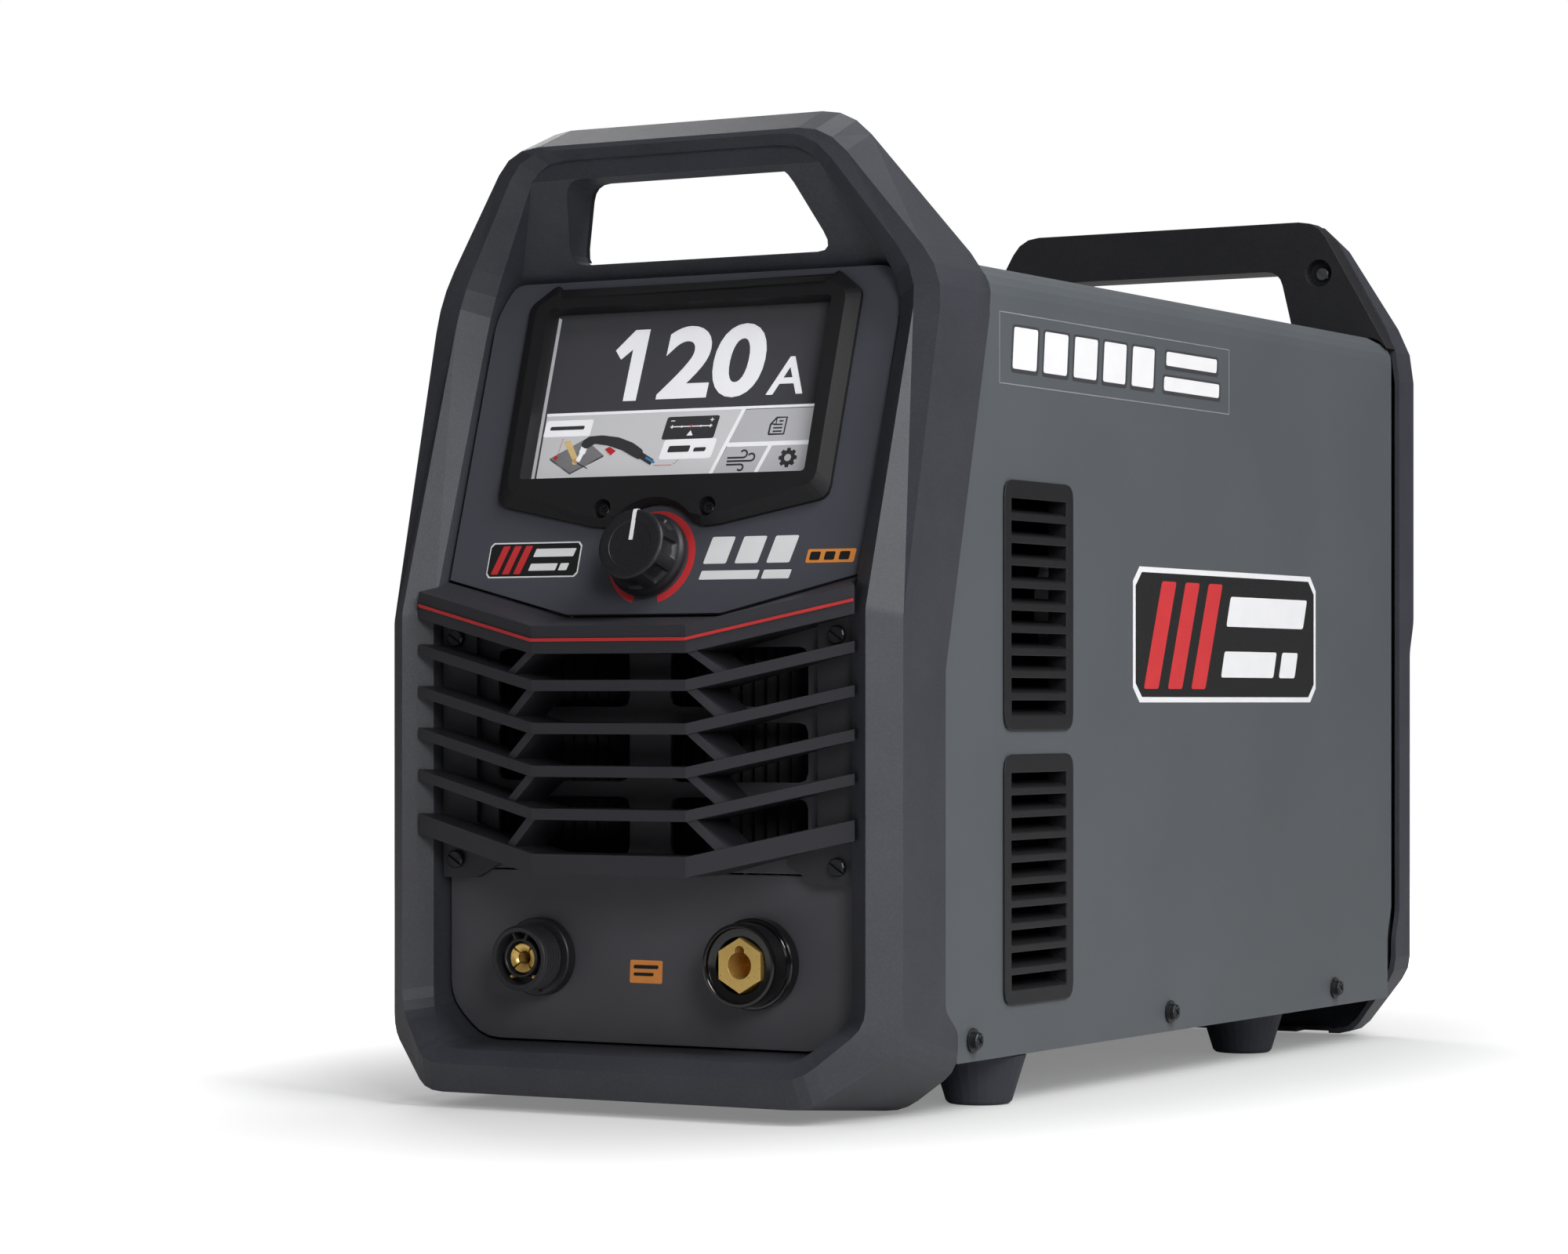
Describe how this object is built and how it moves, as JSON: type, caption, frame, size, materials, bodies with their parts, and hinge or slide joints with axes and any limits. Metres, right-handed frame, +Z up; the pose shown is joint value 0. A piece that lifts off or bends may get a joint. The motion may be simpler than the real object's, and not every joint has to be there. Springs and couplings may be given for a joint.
{
  "type": "plasma cutter power unit",
  "caption": "Portable plasma cutter unit: steel case between moulded end frames with carrying handles, tilted display panel with knob, louvred grille, torch and work sockets, rubber feet",
  "frame": {"origin": "Middle of the overall footprint, on the surface that the feet stand on.", "axes": "+Z up, -Y towards the front panel, +X to the right of someone facing the front; +Y runs along the unit's length to the rear."},
  "size_m": [0.3036, 0.6876, 0.495],
  "materials": {
    "bezel_plastic": "fine spark-eroded texture, blue-grey",
    "case_paint": "satin powder coat",
    "panel_plastic": "fine matte",
    "dark_panel": "fine matte",
    "black_plastic": "fine matte, black",
    "gloss_black": "polished black",
    "rubber": "matte, dark grey",
    "red_trim": "satin red",
    "glass": "display cover glass",
    "brass": "machined",
    "zinc_steel": "zinc plated",
    "dark_steel": "dark plated",
    "aluminium": "extruded",
    "board_green": "solder-masked circuit board",
    "copper": "varnished copper winding",
    "hose_blue": "polyurethane tube"
  },
  "bodies": {
    "chassis": {"air_hose": "hose_blue", "air_inlet_fitting": "brass", "air_valve": "brass", "base_pan": "zinc_steel", "bus_capacitor": "gloss_black", "case_cover": "case_paint", "case_screw_left_1": "dark_steel", "case_screw_left_2": "dark_steel", "case_screw_left_3": "dark_steel", "case_screw_right_1": "dark_steel", "case_screw_right_2": "dark_steel", "case_screw_right_3": "dark_steel", "connector_panel": "dark_panel", "control_board": "board_green", "control_panel": "panel_plastic", "cord_gland": "black_plastic", "display_bezel": "black_plastic", "display_board": "board_green", "display_glass": "glass", "display_screw_left": "dark_steel", "display_screw_right": "dark_steel", "encoder_body": "dark_steel", "fan_frame": "black_plastic", "fan_guard": "black_plastic", "foot_front_left": "rubber", "foot_front_right": "rubber", "foot_rear_left": "rubber", "foot_rear_right": "rubber", "front_bezel": "bezel_plastic", "front_handle_cover": "black_plastic", "grille_screw_lower_left": "dark_steel", "grille_screw_lower_right": "dark_steel", "grille_screw_upper_left": "dark_steel", "grille_screw_upper_right": "dark_steel", "grille_stripe": "red_trim", "heat_sink": "aluminium", "inner_vent_panel": "dark_panel", "lcd_module": "zinc_steel", "main_transformer": "dark_steel", "output_choke": "copper", "power_board": "board_green", "power_switch_body": "gloss_black", "rear_frame": "bezel_plastic", "rear_handle_cover": "black_plastic", "rear_handle_screw_left": "zinc_steel", "rear_handle_screw_right": "zinc_steel", "rear_panel": "black_plastic", "torch_contact": "brass", "torch_socket": "black_plastic", "vent_grille": "panel_plastic", "vent_lower_left": "black_plastic", "vent_lower_right": "black_plastic", "vent_upper_left": "black_plastic", "vent_upper_right": "black_plastic", "work_socket": "gloss_black", "work_socket_insert": "brass"},
    "encoder_rotor": {"encoder_shaft": "aluminium"},
    "knob": {"knob": "black_plastic"},
    "fan_rotor": {"fan_rotor": "black_plastic"},
    "power_switch_handle": {"power_switch_handle": "black_plastic"}
  },
  "joints": [
    {"name": "knob_turn", "type": "hinge", "parent": "chassis", "child": "encoder_rotor", "pos_m": [0, -0.30085, 0.2736], "axis": [0, -0.9537, 0.3007], "continuous": true},
    {"name": "knob_press", "type": "slide", "parent": "encoder_rotor", "child": "knob", "axis": [0, 0.9537, -0.3007], "range_m": [0, 0.001], "stiffness_N_per_m": 2000, "springref_m": -0.0005},
    {"name": "fan_spin", "type": "hinge", "parent": "chassis", "child": "fan_rotor", "pos_m": [-0.012, 0.29365, 0.262], "axis": [0, 1, 0], "continuous": true},
    {"name": "power_switch_turn", "type": "hinge", "parent": "chassis", "child": "power_switch_handle", "pos_m": [0.092, 0.31955, 0.33], "axis": [0, 1, 0], "range_deg": [0, 90]}
  ]
}
